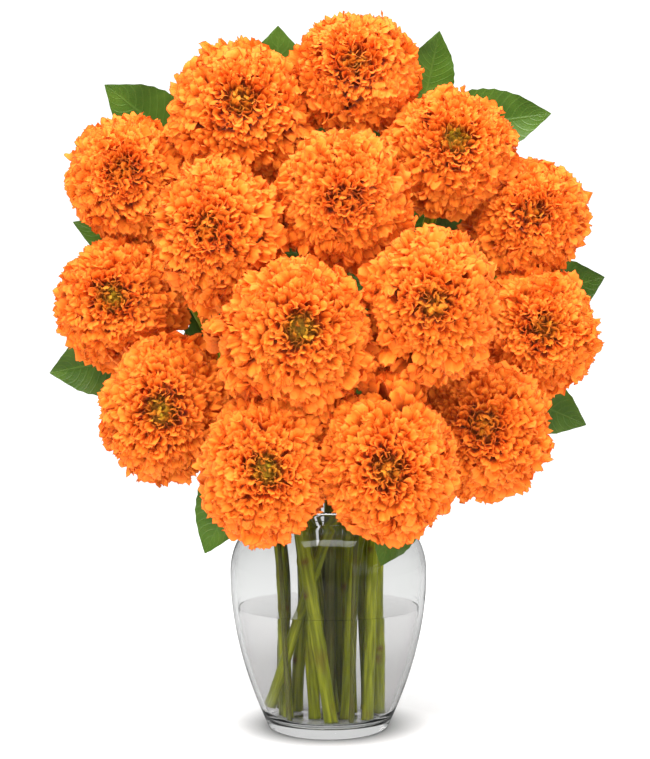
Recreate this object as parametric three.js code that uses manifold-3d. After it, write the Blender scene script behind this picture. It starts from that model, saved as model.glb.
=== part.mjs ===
// Fifteen orange marigolds and lemon-leaf sprigs in a clear glass vase of water.
// Millimetres, +Z up. The origin is the middle of the vase's foot, on the surface it stands on.
// The flowers face -Y, so +X is on the right when you look at them.
import * as THREE from "three";
import { mergeVertices } from "three/addons/utils/BufferGeometryUtils.js";
import Module from "manifold-3d";

const wasm = await Module();
wasm.setup();

// Clearance between neighbouring pieces
const GAP = 0.3;

// The vase: an outline of radius and height, from the foot to the lip
const FOOT_R = 40;
const BELLY = [[42.4, 2.4], [58, 36], [68.5, 72], [68.5, 108]];
const SHOULDER = [[68.5, 108], [68.5, 127], [60, 139], [48, 144]];
const COLLAR = [[48, 144], [45.5, 145.2], [45.8, 148.5], [48.6, 151]];
const LIP = [47.6, 152.2];
const WALL = 3.2;
const FLOOR_Z = 7.5;
const FLOOR_R = 37.5;
const WATER_Z = 84;
const VASE_SIDES = 36;

// The inner wall has no points closer than this to the inner floor or to the water's level
const EDGE_ROOM = 4;

// The heights where stems stand on the glass and where they pass its mouth, and how far the water
// keeps below them
const STAND_Z = 8.2;
const NECK_Z = 146;
const BELOW_STEM = 1.5;

// A flower head is a deep bun. Its outline gives shares of its half width and of its depth, from the
// back to the face, and HEAD_BACK is the share of the depth behind its middle. The solid is a little
// smaller than the petals' reach.
const HEAD_DEPTH = 58;
const HEAD_BACK = 0.42;
const HEAD_SHARE = 0.95;
const HEAD_OUTLINE = [
  [0, 0], [0.26, 0], [0.64, 0.04], [0.88, 0.15], [1, 0.4],
  [0.96, 0.62], [0.8, 0.82], [0.5, 0.95], [0.2, 1], [0, 0.99],
];
const HEAD_SIDES = 14;

// The green cup under a head, as radius and distance from the stem's end
const CALYX_LENGTH = 16;
const CALYX_OUTLINE = [[4.8, 0], [7.6, 4], [9.4, 9], [9.8, CALYX_LENGTH]];
const CALYX_SIDES = 10;

// A stem comes up behind its head, then bends forward over its last stretch
const STEM_R = 4.2;
const STEM_STEPS = 13;
const STEM_SIDES = 8;
const BEND_RISE = 0.8;
const BEND_LENGTH = 17;

// The flowers. "at" is the middle of the head, "size" its width and height across the face, "turn"
// and "tilt" the degrees that it looks to the right and up. "foot" is where its stem ends in the
// water: on the bottom of the vase, or against its wall where the foot has a height of its own.
// "neck" is where the stem passes the vase's mouth, and "rise" a point on its way up.
const MARIGOLDS = [
  {
    at: [18.7, 6, 457.4], size: [93, 88], turn: 0, tilt: 8,
    foot: [8, 21], neck: [6, 23], rise: [6, 50, 290],
  },
  {
    at: [-62, 0, 430.3], size: [99, 100], turn: 6, tilt: 4,
    foot: [-10, 29], neck: [-14, 33], rise: [-36, 56, 280],
  },
  {
    at: [84.7, -4, 400.2], size: [97, 91], turn: 4, tilt: 12,
    foot: [16, 11], neck: [15, 12], rise: [46, 38, 270],
  },
  {
    at: [-141.7, 10, 384.8], size: [87, 88], turn: 0, tilt: 5,
    foot: [-22, 17], neck: [-22, 21], rise: [-84, 50, 270],
  },
  {
    at: [-73.8, -56, 339.8], size: [84, 99], turn: -8, tilt: 4,
    foot: [4, 12], neck: [-15.5, 11.5], rise: [-38, 4, 240],
  },
  {
    at: [11.4, -58, 360.7], size: [87, 89], turn: -5, tilt: -6,
    foot: [1, 2], neck: [1, 2], rise: [6, 6, 250],
  },
  {
    at: [139.8, 6, 356], size: [86, 84], turn: 2, tilt: 4,
    foot: [27, 20], neck: [28, 22], rise: [82, 46, 255],
  },
  {
    at: [-147.2, 4, 296.1], size: [90, 95], turn: -2, tilt: 7,
    foot: [-30, 4], neck: [-36.7, 5], rise: [-76, 30, 216],
  },
  {
    at: [-19.7, -88, 272.6], size: [98, 95], turn: 4, tilt: 2,
    foot: [2, -27], neck: [-18.5, -28], rise: [-16, -24, 205],
  },
  {
    at: [66.8, -84, 289.4], size: [86, 97], turn: -3, tilt: -2,
    foot: [-39.3, -14.6, 18], neck: [3, -17], rise: [36, -20, 215],
  },
  {
    at: [146, -4, 275.4], size: [84, 94], turn: 1, tilt: 3,
    foot: [12, -9], neck: [24.5, -9], rise: [80, 18, 206],
  },
  {
    at: [-110.4, -30, 221.6], size: [90, 104], turn: -1, tilt: 0,
    foot: [-27.5, -7], neck: [-37.1, -4.5], rise: [-66, 4, 176],
  },
  {
    at: [-41.3, -84, 184.4], size: [84, 98], turn: 6, tilt: 5,
    foot: [-9, -7.5], neck: [-21, -5], rise: [-30.5, -27, 161],
  },
  {
    at: [37.5, -86, 186.6], size: [92, 99], turn: -2, tilt: 0,
    foot: [26, -19], neck: [31, -20], rise: [33, -22, 160],
  },
  {
    at: [105.5, -36, 208.2], size: [90, 96], turn: -8, tilt: 10,
    foot: [34.5, 1, 10.5], neck: [37, -3], rise: [64, 5, 172],
  },
];

// A leaf is a flat blade on a short stalk: shares of its length where the stalk ends, where the sides
// leave it and where they bend in to the tip, and shares of its half width for the two bends
const LEAF_THICKNESS = 0.9;
const STALK_END = 0.1;
const STALK_HALF = 0.8;
const LEAF_BENDS = [{ along: 0.18, out: 1.05 }, { along: 0.62, out: 1.3 }];
const TIP_HALF = 0.3;
const SIDE_LEAF = { ahead: 0.62, aside: 0.78, width: 0.56 };

// The lemon-leaf sprigs. "route" is the woody stem after its foot and neck, "tip" the point of its
// last leaf, "others" further leaves given by their place along the stem and their tip, and "pairs"
// the places of the leaves that stand alternately left and right. "face" is the way the leaves look.
const TWIG_R = 2;
const TWIG_STEPS = 14;
const TWIG_SIDES = 6;
const SPRIGS = {
  sprig_top: {
    foot: [3, 35.5], neck: [-1, 39], route: [[-10, 64, 270], [-38, 68, 412]],
    tip: [-37, 52, 503], width: 66,
    others: [{ along: 0.95, tip: [8, 50, 436], width: 46 }, { along: 0.9, tip: [-66, 70, 346], width: 50 }],
    pairs: [0.62, 0.74, 0.86], length: 70, face: [0, -1, 0.1],
  },
  sprig_upper_left: {
    foot: [-21, 28], neck: [-23.6, 31.6], route: [[-56, 79, 290], [-92, 77, 405]],
    tip: [-164.9, 52, 459.5], width: 58, others: [], pairs: [0.58, 0.7, 0.84], length: 70, face: [0, -1, 0],
  },
  sprig_left: {
    foot: [-29, 15.5], neck: [-34.5, 19], route: [[-92, 75, 270], [-114, 79, 385]],
    tip: [-188, 56, 418], width: 44,
    others: [
      { along: 0.82, tip: [-189.2, 57, 359], width: 44 },
      { along: 0.67, tip: [-88, 66, 326], width: 44 },
    ],
    pairs: [0.6], length: 66, face: [0, -1, 0],
  },
  sprig_lower_left: {
    foot: [-34, 10.5, 11], neck: [-37.4, 12.5], route: [[-84, 50, 210], [-128, 60, 262]],
    tip: [-204.6, 48, 247], width: 56, others: [], pairs: [0.6, 0.8], length: 64, face: [0, -1, 0],
  },
  sprig_front_left: {
    foot: [-26, -24], neck: [-35.5, -17], route: [[-47, -22, 177], [-49, -37, 192]],
    tip: [-82.3, -52, 126.9], width: 52, others: [], pairs: [], length: 60, face: [-0.5, -1, 0.2],
  },
  sprig_front_right: {
    foot: [15, -33, 10], neck: [20, -33], route: [[40, -40, 164], [54, -45, 173]],
    tip: [34.2, -67, 120.4], width: 38, others: [], pairs: [], length: 60, face: [0.4, -1, 0.3],
  },
  sprig_upper_right: {
    foot: [17, 31], neck: [18, 34], route: [[52, 66, 280], [68, 68, 432]],
    tip: [82, 52, 499.2], width: 42,
    others: [
      { along: 0.99, tip: [164.4, 52, 438.2], width: 56 },
      { along: 0.9, tip: [31, 54, 426], width: 44 },
      { along: 0.8, tip: [118, 58, 352], width: 46 },
      { along: 0.7, tip: [15, 64, 332], width: 42 },
    ],
    pairs: [0.62, 0.74, 0.86], length: 68, face: [0, -1, 0],
  },
  sprig_right: {
    foot: [32, 16], neck: [35.6, 16.8], route: [[92, 56, 232], [132, 64, 298]],
    tip: [203.3, 50, 317.6], width: 56,
    others: [{ along: 0.95, tip: [114, 54, 350], width: 44 }],
    pairs: [0.6, 0.8], length: 66, face: [0, -1, 0],
  },
  sprig_lower_right: {
    foot: [34.5, 8.5, 12], neck: [38.8, 7.6], route: [[80, 40, 200], [118, 58, 240]],
    tip: [189.4, 48, 208.9], width: 50, others: [], pairs: [0.62, 0.8], length: 62, face: [0, -1, 0],
  },
  sprig_back_right: {
    foot: [11, 33], neck: [9, 38.5], route: [[22, 78, 230], [46, 96, 330]],
    tip: [62, 96, 408], width: 46, others: [{ along: 0.5, tip: [26, 66, 272], width: 50 }],
    pairs: [0.46, 0.58, 0.7, 0.82, 0.92], length: 74, face: [0, 1, 0.2],
  },
  sprig_back_left: {
    foot: [-3, 31.5], neck: [-6.5, 31], route: [[-26, 78, 215], [-54, 99, 318]],
    tip: [-74, 99, 394], width: 46, others: [],
    pairs: [0.56, 0.66, 0.75, 0.84, 0.93], length: 70, face: [-0.3, 1, 0.2],
  },
};

const UP = new THREE.Vector3(0, 0, 1);
const WHOLE = new THREE.Vector3(1, 1, 1);
const vector = ([x, y, z]) => new THREE.Vector3(x, y, z);

const finish = (color, roughness, extra = {}) =>
  new THREE.MeshStandardMaterial({ color, roughness, metalness: 0, ...extra });
const GLASS = finish(0xf4f8f6, 0.05, { transparent: true, opacity: 0.3 });
const WATER = finish(0xeaf2f0, 0.05, { transparent: true, opacity: 0.3 });
const PETAL = finish(0xff7a12, 0.7);
const CALYX = finish(0x5f8a35, 0.65);
const STEM = finish(0x6a8c2e, 0.55);
const LEAF = finish(0x3f7326, 0.5);

// Solids and geometry

function solidOf(geometry, matrix = new THREE.Matrix4()) {
  const bare = new THREE.BufferGeometry();
  const source = geometry.index ? geometry.toNonIndexed() : geometry;
  bare.setAttribute("position", source.getAttribute("position").clone());
  bare.applyMatrix4(matrix);
  const merged = mergeVertices(bare, 1e-3);
  return new wasm.Manifold(
    new wasm.Mesh({
      numProp: 3,
      vertProperties: merged.attributes.position.array,
      triVerts: new Uint32Array(merged.index.array),
    }),
  );
}

function geometryOf(solid) {
  const mesh = solid.getMesh();
  const points = new Float32Array(mesh.numVert * 3);
  for (let i = 0; i < mesh.numVert; i++) {
    points.set(mesh.vertProperties.subarray(i * mesh.numProp, i * mesh.numProp + 3), i * 3);
  }
  const geometry = new THREE.BufferGeometry();
  geometry.setAttribute("position", new THREE.BufferAttribute(points, 3));
  geometry.setIndex(new THREE.BufferAttribute(mesh.triVerts, 1));
  geometry.computeVertexNormals();
  return geometry;
}

// What is left of a solid once its neighbours' room is taken away, without loose scraps
function clearOf(solid, neighbours) {
  const cut = neighbours.reduce((left, other) => left.subtract(other), solid);
  return cut.decompose().reduce((a, b) => (b.volume() > a.volume() ? b : a));
}

const samples = (corners, count) => {
  const [a, b, c, d] = corners.map(([r, z]) => new THREE.Vector2(r, z));
  return new THREE.CubicBezierCurve(a, b, c, d).getPoints(count);
};

// The vase and its water

const outerWall = [
  ...samples(BELLY, 7),
  ...samples(SHOULDER, 5).slice(1),
  ...samples(COLLAR, 3).slice(1),
];

// The outer wall moved inwards by the thickness of the glass
function innerWall(thickness) {
  return outerWall.map((p, i) => {
    const before = outerWall[Math.max(i - 1, 0)];
    const after = outerWall[Math.min(i + 1, outerWall.length - 1)];
    const along = after.clone().sub(before).normalize();
    return new THREE.Vector2(p.x - along.y * thickness, p.y + along.x * thickness);
  });
}

function vaseGeometry() {
  const inside = innerWall(WALL).filter((p) => p.y > FLOOR_Z + EDGE_ROOM).reverse();
  const profile = [
    new THREE.Vector2(0, 0),
    new THREE.Vector2(FOOT_R, 0),
    ...outerWall,
    new THREE.Vector2(...LIP),
    ...inside,
    new THREE.Vector2(FLOOR_R, FLOOR_Z),
    new THREE.Vector2(0, FLOOR_Z),
  ];
  return new THREE.LatheGeometry(profile, VASE_SIDES).rotateX(Math.PI / 2);
}

function waterGeometry() {
  const inside = innerWall(WALL + GAP).filter((p) => p.y > FLOOR_Z + EDGE_ROOM);
  const wall = inside.filter((p) => p.y < WATER_Z - EDGE_ROOM);
  const below = wall[wall.length - 1];
  const above = inside[wall.length];
  const share = (WATER_Z - below.y) / (above.y - below.y);
  const profile = [
    new THREE.Vector2(0, FLOOR_Z + GAP),
    new THREE.Vector2(FLOOR_R - GAP, FLOOR_Z + GAP),
    ...wall,
    below.clone().lerp(above, share),
    new THREE.Vector2(0, WATER_Z),
  ];
  return new THREE.LatheGeometry(profile, VASE_SIDES).rotateX(Math.PI / 2);
}

// A flower and its stem. The head's back and the cup's stem end lie at the origin, facing +Z.

function headGeometry([width, height], grow = 0) {
  const profile = HEAD_OUTLINE.map(([r, z]) => new THREE.Vector2(r, z * HEAD_DEPTH));
  const bun = new THREE.LatheGeometry(profile, HEAD_SIDES);
  bun.rotateX(Math.PI / 2);
  bun.scale(
    (width / 2) * HEAD_SHARE + grow,
    (height / 2) * HEAD_SHARE + grow,
    1 + (2 * grow) / HEAD_DEPTH,
  );
  bun.translate(0, 0, -grow);
  return bun;
}

function calyxGeometry(grow = 0) {
  const side = CALYX_OUTLINE.map(([r, z]) => new THREE.Vector2(r + grow, z));
  side[0].y -= grow;
  side[side.length - 1].y += grow;
  const profile = [
    new THREE.Vector2(0, -grow),
    ...side,
    new THREE.Vector2(0, CALYX_LENGTH + grow),
  ];
  return new THREE.LatheGeometry(profile, CALYX_SIDES).rotateX(Math.PI / 2);
}

const direction = (turn, tilt) => {
  const [t, u] = [THREE.MathUtils.degToRad(turn), THREE.MathUtils.degToRad(tilt)];
  return new THREE.Vector3(Math.sin(t) * Math.cos(u), -Math.cos(t) * Math.cos(u), Math.sin(u));
};

// A stem's centre line, from its foot through the mouth of the vase
function stemPath(foot, neck, route) {
  const [x, y, z = STAND_Z] = foot;
  const points = [[x, y, z], [...neck, NECK_Z], ...route];
  return new THREE.CatmullRomCurve3(points.map(vector), false, "catmullrom", 0.5);
}

function tubeGeometry(path, radius, sides, steps) {
  const section = new THREE.Shape();
  for (let i = 0; i < sides; i++) {
    const angle = (2 * Math.PI * i) / sides;
    section[i ? "lineTo" : "moveTo"](radius * Math.cos(angle), radius * Math.sin(angle));
  }
  return new THREE.ExtrudeGeometry(section, { extrudePath: path, steps, bevelEnabled: false });
}

// The room that a tube takes: a gap wider all round, with the ring of points at its foot moved down
function tubeRoom(path, radius, sides, steps) {
  const wide = radius + GAP;
  const room = tubeGeometry(path, wide, sides, steps);
  const foot = path.getPoint(0);
  const down = path.getTangent(0).multiplyScalar(-BELOW_STEM);
  const points = room.getAttribute("position");
  for (let i = 0; i < points.count; i++) {
    const point = new THREE.Vector3().fromBufferAttribute(points, i);
    if (point.distanceTo(foot) < 1.01 * wide) points.setXYZ(i, ...point.add(down));
  }
  return solidOf(room);
}

// Where the parts of one marigold go. The stem reaches its cup from behind and a little below.
function marigoldPlan({ at, size, turn, tilt, neck, foot, rise }) {
  const looks = direction(turn, tilt);
  const back = vector(at).addScaledVector(looks, -HEAD_BACK * HEAD_DEPTH);
  const cup = back.clone().addScaledVector(looks, -CALYX_LENGTH - GAP);
  const stemEnd = cup.clone().addScaledVector(looks, -GAP);
  const arrives = looks.clone().addScaledVector(UP, BEND_RISE).normalize();
  const before = stemEnd.clone().addScaledVector(arrives, -BEND_LENGTH);
  const path = stemPath(foot, neck, [rise, before.toArray(), stemEnd.toArray()]);
  const turned = new THREE.Quaternion().setFromUnitVectors(UP, looks);
  const place = (point) => new THREE.Matrix4().compose(point, turned, WHOLE);
  return { size, path, headPlace: place(back), cupPlace: place(cup) };
}

// A leaf: a thin blade from the origin along +X, lying in the XY plane, with its stalk
function leafGeometry(length, width, grow = 0) {
  const stalk = STALK_END * length;
  const thin = STALK_HALF + grow;
  const end = length + grow;
  const [near, far] = LEAF_BENDS.map(({ along, out }) => [along * length, out * (width / 2 + grow)]);
  const outline = new THREE.Shape();
  outline.moveTo(-grow, -thin);
  outline.lineTo(stalk, -thin);
  outline.bezierCurveTo(near[0], -near[1], far[0], -far[1], end, -TIP_HALF);
  outline.lineTo(end, TIP_HALF);
  outline.bezierCurveTo(...far, ...near, stalk, thin);
  outline.lineTo(-grow, thin);
  const depth = LEAF_THICKNESS + 2 * grow;
  const blade = new THREE.ExtrudeGeometry(outline, { depth, bevelEnabled: false, curveSegments: 5 });
  return blade.translate(0, 0, -depth / 2);
}

// The matrix that lays a leaf from one point towards its tip, looking the given way
function leafPlace(from, tip, face) {
  const along = tip.clone().sub(from).normalize();
  const normal = face.clone().addScaledVector(along, -face.dot(along)).normalize();
  const across = new THREE.Vector3().crossVectors(normal, along);
  return new THREE.Matrix4().makeBasis(along, across, normal).setPosition(from);
}

function sprigPlan({ foot, neck, route, tip, width, others, pairs, length, face }) {
  const path = stemPath(foot, neck, route);
  const looks = vector(face).normalize();
  const leaves = [{ from: path.getPoint(1), tip: vector(tip), width }];
  for (const leaf of others) {
    leaves.push({ from: path.getPoint(leaf.along), tip: vector(leaf.tip), width: leaf.width });
  }
  pairs.forEach((along, i) => {
    const from = path.getPoint(along);
    const ahead = path.getTangent(along);
    const side = new THREE.Vector3().crossVectors(looks, ahead).normalize();
    const aside = i % 2 ? -SIDE_LEAF.aside : SIDE_LEAF.aside;
    const heads = ahead.multiplyScalar(SIDE_LEAF.ahead).addScaledVector(side, aside);
    const end = from.clone().addScaledVector(heads, length);
    leaves.push({ from, tip: end, width: length * SIDE_LEAF.width });
  });
  return { path, looks, leaves };
}

const withLeaves = (twig, { looks, leaves }, grow) =>
  leaves.reduce((joined, { from, tip, width }) => {
    const blade = leafGeometry(from.distanceTo(tip), width, grow);
    return joined.add(solidOf(blade, leafPlace(from, tip, looks)));
  }, twig);

const sprigSolid = (plan) =>
  withLeaves(solidOf(tubeGeometry(plan.path, TWIG_R, TWIG_SIDES, TWIG_STEPS)), plan, 0);
const sprigRoom = (plan) => withLeaves(tubeRoom(plan.path, TWIG_R, TWIG_SIDES, TWIG_STEPS), plan, GAP);

// The bouquet

const bouquet = new THREE.Group();
bouquet.name = "marigold_bouquet";

function put(name, geometry, material) {
  const mesh = new THREE.Mesh(geometry, material);
  mesh.name = name;
  bouquet.add(mesh);
}

const plans = MARIGOLDS.map(marigoldPlan);
const number = (i) => String(i + 1).padStart(2, "0");

// Heads that press on each other give way: the one behind is hollowed by the one in front
const frontFirst = plans.map((_, i) => i).sort((a, b) => MARIGOLDS[a].at[1] - MARIGOLDS[b].at[1]);
const headRooms = [];
for (const i of frontFirst) {
  const { size, headPlace } = plans[i];
  put(`bloom_${number(i)}`, geometryOf(clearOf(solidOf(headGeometry(size), headPlace), headRooms)), PETAL);
  headRooms.push(solidOf(headGeometry(size, GAP), headPlace));
}

const stemRooms = [];
plans.forEach(({ path, cupPlace }, i) => {
  put(`calyx_${number(i)}`, calyxGeometry().applyMatrix4(cupPlace), CALYX);
  const cupRoom = solidOf(calyxGeometry(GAP), cupPlace);
  const stem = solidOf(tubeGeometry(path, STEM_R, STEM_SIDES, STEM_STEPS));
  put(`stem_${number(i)}`, geometryOf(clearOf(stem, [cupRoom])), STEM);
  stemRooms.push(tubeRoom(path, STEM_R, STEM_SIDES, STEM_STEPS));
  headRooms.push(cupRoom);
});

const twigRooms = [];
for (const [name, sprig] of Object.entries(SPRIGS)) {
  const plan = sprigPlan(sprig);
  const solid = clearOf(sprigSolid(plan), [...headRooms, ...stemRooms, ...twigRooms]);
  put(name, geometryOf(solid), LEAF);
  twigRooms.push(sprigRoom(plan));
}

put("vase", vaseGeometry(), GLASS);
put("water", geometryOf(clearOf(solidOf(waterGeometry()), [...stemRooms, ...twigRooms])), WATER);

export default bouquet;
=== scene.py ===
import math

import bpy
import numpy as np
from mathutils import Matrix, Vector, noise


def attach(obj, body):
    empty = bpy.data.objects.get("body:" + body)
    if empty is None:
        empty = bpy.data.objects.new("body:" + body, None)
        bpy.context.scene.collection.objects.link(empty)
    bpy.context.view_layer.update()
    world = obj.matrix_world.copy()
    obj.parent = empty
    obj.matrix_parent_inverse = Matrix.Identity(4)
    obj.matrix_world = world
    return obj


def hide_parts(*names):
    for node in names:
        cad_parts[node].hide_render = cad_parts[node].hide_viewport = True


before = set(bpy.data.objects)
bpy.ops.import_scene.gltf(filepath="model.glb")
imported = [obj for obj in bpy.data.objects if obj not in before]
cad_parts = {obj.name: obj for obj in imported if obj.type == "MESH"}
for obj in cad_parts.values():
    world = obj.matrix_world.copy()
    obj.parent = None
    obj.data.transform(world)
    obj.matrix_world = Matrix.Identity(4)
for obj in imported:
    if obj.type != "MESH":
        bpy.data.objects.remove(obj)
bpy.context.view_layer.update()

# Fifteen orange marigolds and lemon-leaf sprigs in a clear glass vase of water. Lengths in the
# tables are millimetres, as in the CAD model, and become metres when a mesh is made. The floor and
# the lamps are in metres.
MM = 0.001

# The vase: an outline of radius and height, from the foot to the lip
FOOT_R = 40
BELLY = [(42.4, 2.4), (58, 36), (68.5, 72), (68.5, 108)]
SHOULDER = [(68.5, 108), (68.5, 127), (60, 139), (48, 144)]
COLLAR = [(48, 144), (45.5, 145.2), (45.8, 148.5), (48.6, 151)]
WALL = 3.2
FLOOR_Z = 7.5
FLOOR_R = 37.5
WATER_Z = 84
ROUND = 128

# Clearance between neighbouring pieces
GAP = 0.3

# The rounded rim under the foot, and where the wall meets the inner floor, in the glass and the water
HEEL = [(0, 0.8), (30, 0.8), (35, 0), (FOOT_R, 0), (41.6, 0.8)]
BOWL = [(FLOOR_R + 2.2, FLOOR_Z + 1.6), (FLOOR_R - 1, FLOOR_Z + 0.1), (28, FLOOR_Z), (0, FLOOR_Z)]
WATER_FOOT = [(0, FLOOR_Z + GAP), (28, FLOOR_Z + GAP), (FLOOR_R - 1, FLOOR_Z + 0.4),
              (FLOOR_R + 1.8, FLOOR_Z + 2)]

# How far the straight wall keeps from the inner floor, in the glass and in the water, and how far
# the water's side keeps below its level
WALL_FROM = 4
WATER_FROM = 5
WATER_TO = 1

# The camera's place, and its lens and sensor
CAMERA = (-2.4, -1000, 242.3)
LENS = 67.76
SENSOR = 36

# Where stems stand, where they pass the mouth, and how they meet their heads
STAND_Z = 8.2
NECK_Z = 146
HEAD_DEPTH = 58
HEAD_BACK = 0.42
CALYX_LENGTH = 16
BEND_RISE = 0.8
BEND_LENGTH = 17
STEM_R = 4.1
TWIG_R = 1.9

# The flowers: middle, width and height, the degrees looked to the right and up, how open and olive
# the eye is (petals grow over a weak one), the share of a pocket between three heads that the petals
# grow into, over and under the middle, and the stem's route
MARIGOLDS = [
    dict(at=(18.7, 6, 457.4), size=(93, 88), turn=0, tilt=8, eye=0.45, fill=(0.35, 0.35),
         foot=(8, 21), neck=(6, 23), rise=(6, 50, 290)),
    dict(at=(-62, 0, 430.3), size=(99, 100), turn=6, tilt=4, eye=0.6, fill=(1.5, 1.5),
         foot=(-10, 29), neck=(-14, 33), rise=(-36, 56, 280)),
    dict(at=(84.7, -4, 400.2), size=(97, 91), turn=4, tilt=12, eye=1.1, fill=(0.35, 0.35),
         foot=(16, 11), neck=(15, 12), rise=(46, 38, 270)),
    dict(at=(-141.7, 10, 384.8), size=(87, 88), turn=0, tilt=5, eye=0.3, fill=(1.0, 1.0),
         foot=(-22, 17), neck=(-22, 21), rise=(-84, 50, 270)),
    dict(at=(-73.8, -56, 339.8), size=(84, 99), turn=-8, tilt=4, eye=0.35, fill=(0.7, 0.7),
         foot=(4, 12), neck=(-15.5, 11.5), rise=(-38, 4, 240)),
    dict(at=(11.4, -58, 360.7), size=(87, 89), turn=-5, tilt=-6, eye=0.1, fill=(0.6, 0.6),
         foot=(1, 2), neck=(1, 2), rise=(6, 6, 250)),
    dict(at=(139.8, 6, 356), size=(86, 84), turn=2, tilt=4, eye=0.35, fill=(0.35, 0.35),
         foot=(27, 20), neck=(28, 22), rise=(82, 46, 255)),
    dict(at=(-147.2, 4, 296.1), size=(90, 95), turn=-2, tilt=7, eye=0.9, fill=(0.7, 0.7),
         foot=(-30, 4), neck=(-36.7, 5), rise=(-76, 30, 216)),
    dict(at=(-19.7, -88, 272.6), size=(98, 95), turn=4, tilt=2, eye=1.0, fill=(0.35, 1.1),
         foot=(2, -27), neck=(-18.5, -28), rise=(-16, -24, 205)),
    dict(at=(66.8, -84, 289.4), size=(86, 97), turn=-3, tilt=-2, eye=0.5, fill=(0.35, 1.0),
         foot=(-39.3, -14.6, 18), neck=(3, -17), rise=(36, -20, 215)),
    dict(at=(146, -4, 275.4), size=(84, 94), turn=1, tilt=3, eye=0.6, fill=(0.35, 0.35),
         foot=(12, -9), neck=(24.5, -9), rise=(80, 18, 206)),
    dict(at=(-110.4, -30, 221.6), size=(90, 104), turn=-1, tilt=0, eye=0.9, fill=(0.35, 0.35),
         foot=(-27.5, -7), neck=(-37.1, -4.5), rise=(-66, 4, 176)),
    dict(at=(-41.3, -84, 184.4), size=(84, 98), turn=6, tilt=5, eye=1.0, fill=(1.0, 0.35),
         foot=(-9, -7.5), neck=(-21, -5), rise=(-30.5, -27, 161)),
    dict(at=(37.5, -86, 186.6), size=(92, 99), turn=-2, tilt=0, eye=0.5, fill=(1.1, 0.35),
         foot=(26, -19), neck=(31, -20), rise=(33, -22, 160)),
    dict(at=(105.5, -36, 208.2), size=(90, 96), turn=-8, tilt=10, eye=0.5, fill=(0.8, 0.35),
         foot=(34.5, 1, 10.5), neck=(37, -3), rise=(64, 5, 172)),
]
# The flowers with a brown stem, and how much stouter than usual a stem is
BROWN_STEMS = {6}
STOUT = {9: 1.2, 11: 1.06}

# The lemon-leaf sprigs, with the same fields as in the CAD model. Each of "others" is a leaf's place
# along the stem, its tip and its width.
SIDE_LEAF = dict(ahead=0.62, aside=0.78, width=0.56)
SPRIGS = {
    "sprig_top": dict(
        foot=(3, 35.5), neck=(-1, 39), route=[(-10, 64, 270), (-38, 68, 412)],
        tip=(-37, 52, 503), width=66, others=[(0.95, (8, 50, 436), 46), (0.9, (-66, 70, 346), 50)],
        pairs=(0.62, 0.74, 0.86), length=70, face=(0, -1, 0.1)),
    "sprig_upper_left": dict(
        foot=(-21, 28), neck=(-23.6, 31.6), route=[(-56, 79, 290), (-92, 77, 405)],
        tip=(-164.9, 52, 459.5), width=58, others=[], pairs=(0.58, 0.7, 0.84), length=70, face=(0, -1, 0)),
    "sprig_left": dict(
        foot=(-29, 15.5), neck=(-34.5, 19), route=[(-92, 75, 270), (-114, 79, 385)],
        tip=(-188, 56, 418), width=44, others=[(0.82, (-189.2, 57, 359), 44), (0.67, (-88, 66, 326), 44)],
        pairs=(0.6,), length=66, face=(0, -1, 0)),
    "sprig_lower_left": dict(
        foot=(-34, 10.5, 11), neck=(-37.4, 12.5), route=[(-84, 50, 210), (-128, 60, 262)],
        tip=(-204.6, 48, 247), width=56, others=[], pairs=(0.6, 0.8), length=64, face=(0, -1, 0)),
    "sprig_front_left": dict(
        foot=(-26, -24), neck=(-35.5, -17), route=[(-47, -22, 177), (-49, -37, 192)],
        tip=(-82.3, -52, 126.9), width=52, others=[], pairs=(), length=60, face=(-0.5, -1, 0.2)),
    "sprig_front_right": dict(
        foot=(15, -33, 10), neck=(20, -33), route=[(40, -40, 164), (54, -45, 173)],
        tip=(34.2, -67, 120.4), width=38, others=[], pairs=(), length=60, face=(0.4, -1, 0.3)),
    "sprig_upper_right": dict(
        foot=(17, 31), neck=(18, 34), route=[(52, 66, 280), (68, 68, 432)],
        tip=(82, 52, 499.2), width=42,
        others=[(0.99, (164.4, 52, 438.2), 56), (0.9, (31, 54, 426), 44), (0.8, (118, 58, 352), 46),
                (0.7, (15, 64, 332), 42)],
        pairs=(0.62, 0.74, 0.86), length=68, face=(0, -1, 0)),
    "sprig_right": dict(
        foot=(32, 16), neck=(35.6, 16.8), route=[(92, 56, 232), (132, 64, 298)],
        tip=(203.3, 50, 317.6), width=56, others=[(0.95, (114, 54, 350), 44)],
        pairs=(0.6, 0.8), length=66, face=(0, -1, 0)),
    "sprig_lower_right": dict(
        foot=(34.5, 8.5, 12), neck=(38.8, 7.6), route=[(80, 40, 200), (118, 58, 240)],
        tip=(189.4, 48, 208.9), width=50, others=[], pairs=(0.62, 0.8), length=62, face=(0, -1, 0)),
    "sprig_back_right": dict(
        foot=(11, 33), neck=(9, 38.5), route=[(22, 78, 230), (46, 96, 330)],
        tip=(62, 96, 408), width=46, others=[(0.5, (26, 66, 272), 50)],
        pairs=(0.46, 0.58, 0.7, 0.82, 0.92), length=74, face=(0, 1, 0.2)),
    "sprig_back_left": dict(
        foot=(-3, 31.5), neck=(-6.5, 31), route=[(-26, 78, 215), (-54, 99, 318)],
        tip=(-74, 99, 394), width=46, others=[],
        pairs=(0.56, 0.66, 0.75, 0.84, 0.93), length=70, face=(-0.3, 1, 0.2)),
}

UP = Vector((0, 0, 1))

# Meshes


def quads_of(count, rows, columns, closed=False):
    """Quads for a number of grids of points, each closed across its columns if asked."""
    index = np.arange(count * rows * columns).reshape(count, rows, columns)
    if closed:
        index = np.concatenate([index, index[:, :, :1]], axis=2)
    corners = (index[:, :-1, :-1], index[:, :-1, 1:], index[:, 1:, 1:], index[:, 1:, :-1])
    return np.stack(corners, axis=-1).reshape(-1, 4)


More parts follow.
